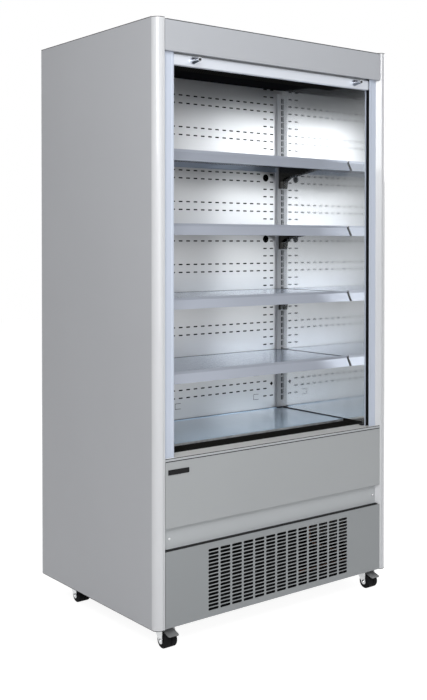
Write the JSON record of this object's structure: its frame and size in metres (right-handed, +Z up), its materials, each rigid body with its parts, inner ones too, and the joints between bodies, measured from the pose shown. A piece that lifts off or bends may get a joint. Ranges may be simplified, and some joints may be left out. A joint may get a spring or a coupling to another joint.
{
  "type": "open multideck display fridge",
  "caption": "Open-fronted upright display fridge on castors with adjustable shelves, slotted stainless back wall, pull-down night blind, louvred plinth and plug-in cooling unit.",
  "frame": {"origin": "on the floor, under the middle of the cabinet's box", "axes": "+X to the right seen from the front, +Y to the back, +Z up; the open front faces -Y"},
  "size_m": [1.04, 0.756, 1.9712],
  "materials": {
    "white_paint": "satin powder coat",
    "profile_white": "gloss powder coat",
    "plinth_grey": "satin powder coat",
    "mirror_steel": "mirror-polished stainless steel",
    "stainless": "brushed",
    "deck_grey": "semi-gloss powder coat",
    "sill_grey": "satin powder coat",
    "galvanised": "galvanised",
    "dark_steel": "black paint",
    "black_plastic": "matte",
    "foam": "expanded foam core",
    "fins": "mill finish",
    "black_fins": "black coated",
    "aluminium": "satin",
    "copper": "drawn copper",
    "zinc": "bright zinc plate",
    "wheel_black": "satin",
    "knob_steel": "turned",
    "blind_cloth": "woven film",
    "lamp": "frosted"
  },
  "bodies": {
    "cabinet": {"side_panel_left": "white_paint", "side_panel_right": "white_paint", "header_panel": "white_paint", "front_apron": "white_paint", "roof_panel": "galvanised", "rear_panel": "galvanised", "corner_profile_left": "profile_white", "corner_profile_right": "profile_white", "jamb_left": "profile_white", "jamb_right": "profile_white", "profile_end_caps": "black_plastic", "blind_guides": "black_plastic", "inner_wall_left": "mirror_steel", "inner_wall_right": "mirror_steel", "rear_liner": "galvanised", "floor_liner": "galvanised", "foam_core": "foam", "base_frame": "dark_steel", "canopy_ceiling": "dark_steel", "air_honeycomb": "black_plastic", "light_tube": "lamp", "duct_panels": "stainless", "shelf_uprights": "stainless", "shelf_brackets": "stainless", "deck_tray": "deck_grey", "return_air_grille": "black_plastic", "front_sill": "sill_grey", "badge_plate": "black_plastic", "service_strip": "white_paint", "strip_screws": "zinc", "louvre_panel": "plinth_grey", "compressor": "dark_steel", "condenser_coil": "black_fins", "condenser_shroud": "galvanised", "evaporator_coil": "fins", "evaporator_fan_plate": "galvanised", "drip_tray": "galvanised", "control_box": "black_plastic", "refrigerant_pipes": "copper"},
    "blind_pull": {"blind_bar": "aluminium", "blind_knobs": "knob_steel", "blind_curtain": "blind_cloth"},
    "blind_tube": {"blind_roller": "aluminium"},
    "condenser_rotor": {"condenser_fan": "black_plastic"},
    "evaporator_rotor_left": {"evaporator_fan_left": "black_plastic"},
    "evaporator_rotor_right": {"evaporator_fan_right": "black_plastic"},
    "shelf_body_1": {"shelf_1": "stainless"},
    "shelf_body_2": {"shelf_2": "stainless"},
    "shelf_body_3": {"shelf_3": "stainless"},
    "shelf_body_4": {"shelf_4": "stainless"},
    "castor_front_left": {"castor_fork_front_left": "zinc"},
    "wheel_front_left": {"castor_wheel_front_left": "wheel_black"},
    "castor_front_right": {"castor_fork_front_right": "zinc"},
    "wheel_front_right": {"castor_wheel_front_right": "wheel_black"},
    "castor_rear_left": {"castor_fork_rear_left": "zinc"},
    "wheel_rear_left": {"castor_wheel_rear_left": "wheel_black"},
    "castor_rear_right": {"castor_fork_rear_right": "zinc"},
    "wheel_rear_right": {"castor_wheel_rear_right": "wheel_black"},
    "brake_left": {"brake_lever_left": "black_plastic"},
    "brake_right": {"brake_lever_right": "black_plastic"}
  },
  "joints": [
    {"name": "blind_pull_down", "type": "slide", "parent": "cabinet", "child": "blind_pull", "axis": [0, 0, -1], "range_m": [0, 1.228], "stiffness_N_per_m": 8, "springref_m": -1, "deforming": ["blind_curtain"]},
    {"name": "blind_roll", "type": "hinge", "parent": "cabinet", "child": "blind_tube", "pos_m": [0, -0.307, 1.9047], "axis": [1, 0, 0], "range_deg": [-30, 4140]},
    {"name": "condenser_fan_spin", "type": "hinge", "parent": "cabinet", "child": "condenser_rotor", "pos_m": [-0.09, -0.21, 0.19], "axis": [0, 1, 0], "continuous": true},
    {"name": "evaporator_fan_spin_left", "type": "hinge", "parent": "cabinet", "child": "evaporator_rotor_left", "pos_m": [-0.21, -0.11, 0.5112], "axis": [0, 1, 0], "continuous": true},
    {"name": "evaporator_fan_spin_right", "type": "hinge", "parent": "cabinet", "child": "evaporator_rotor_right", "pos_m": [0.21, -0.11, 0.5112], "axis": [0, 1, 0], "continuous": true},
    {"name": "shelf_1_draw", "type": "slide", "parent": "cabinet", "child": "shelf_body_1", "axis": [0, -1, 0], "range_m": [0, 0.05]},
    {"name": "shelf_2_draw", "type": "slide", "parent": "cabinet", "child": "shelf_body_2", "axis": [0, -1, 0], "range_m": [0, 0.05]},
    {"name": "shelf_3_draw", "type": "slide", "parent": "cabinet", "child": "shelf_body_3", "axis": [0, -1, 0], "range_m": [0, 0.05]},
    {"name": "shelf_4_draw", "type": "slide", "parent": "cabinet", "child": "shelf_body_4", "axis": [0, -1, 0], "range_m": [0, 0.05]},
    {"name": "castor_front_left_swivel", "type": "hinge", "parent": "cabinet", "child": "castor_front_left", "pos_m": [-0.456, -0.306, 0.061], "axis": [0, 0, 1], "continuous": true},
    {"name": "wheel_front_left_roll", "type": "hinge", "parent": "castor_front_left", "child": "wheel_front_left", "pos_m": [-0.456, -0.328, 0.025], "axis": [1, 0, 0], "continuous": true},
    {"name": "castor_front_right_swivel", "type": "hinge", "parent": "cabinet", "child": "castor_front_right", "pos_m": [0.456, -0.306, 0.061], "axis": [0, 0, 1], "continuous": true},
    {"name": "wheel_front_right_roll", "type": "hinge", "parent": "castor_front_right", "child": "wheel_front_right", "pos_m": [0.456, -0.328, 0.025], "axis": [1, 0, 0], "continuous": true},
    {"name": "castor_rear_left_swivel", "type": "hinge", "parent": "cabinet", "child": "castor_rear_left", "pos_m": [-0.456, 0.22, 0.061], "axis": [0, 0, 1], "continuous": true},
    {"name": "wheel_rear_left_roll", "type": "hinge", "parent": "castor_rear_left", "child": "wheel_rear_left", "pos_m": [-0.456, 0.198, 0.025], "axis": [1, 0, 0], "continuous": true},
    {"name": "castor_rear_right_swivel", "type": "hinge", "parent": "cabinet", "child": "castor_rear_right", "pos_m": [0.456, 0.22, 0.061], "axis": [0, 0, 1], "continuous": true},
    {"name": "wheel_rear_right_roll", "type": "hinge", "parent": "castor_rear_right", "child": "wheel_rear_right", "pos_m": [0.456, 0.198, 0.025], "axis": [1, 0, 0], "continuous": true},
    {"name": "brake_left_press", "type": "hinge", "parent": "castor_front_left", "child": "brake_left", "pos_m": [-0.456, -0.327, 0.0565], "axis": [1, 0, 0], "range_deg": [0, 10]},
    {"name": "brake_right_press", "type": "hinge", "parent": "castor_front_right", "child": "brake_right", "pos_m": [0.456, -0.327, 0.0565], "axis": [1, 0, 0], "range_deg": [0, 10]}
  ],
  "couplings": [
    {"joint": "blind_roll", "follows": "blind_pull_down", "rad_per_m": 58.3}
  ]
}
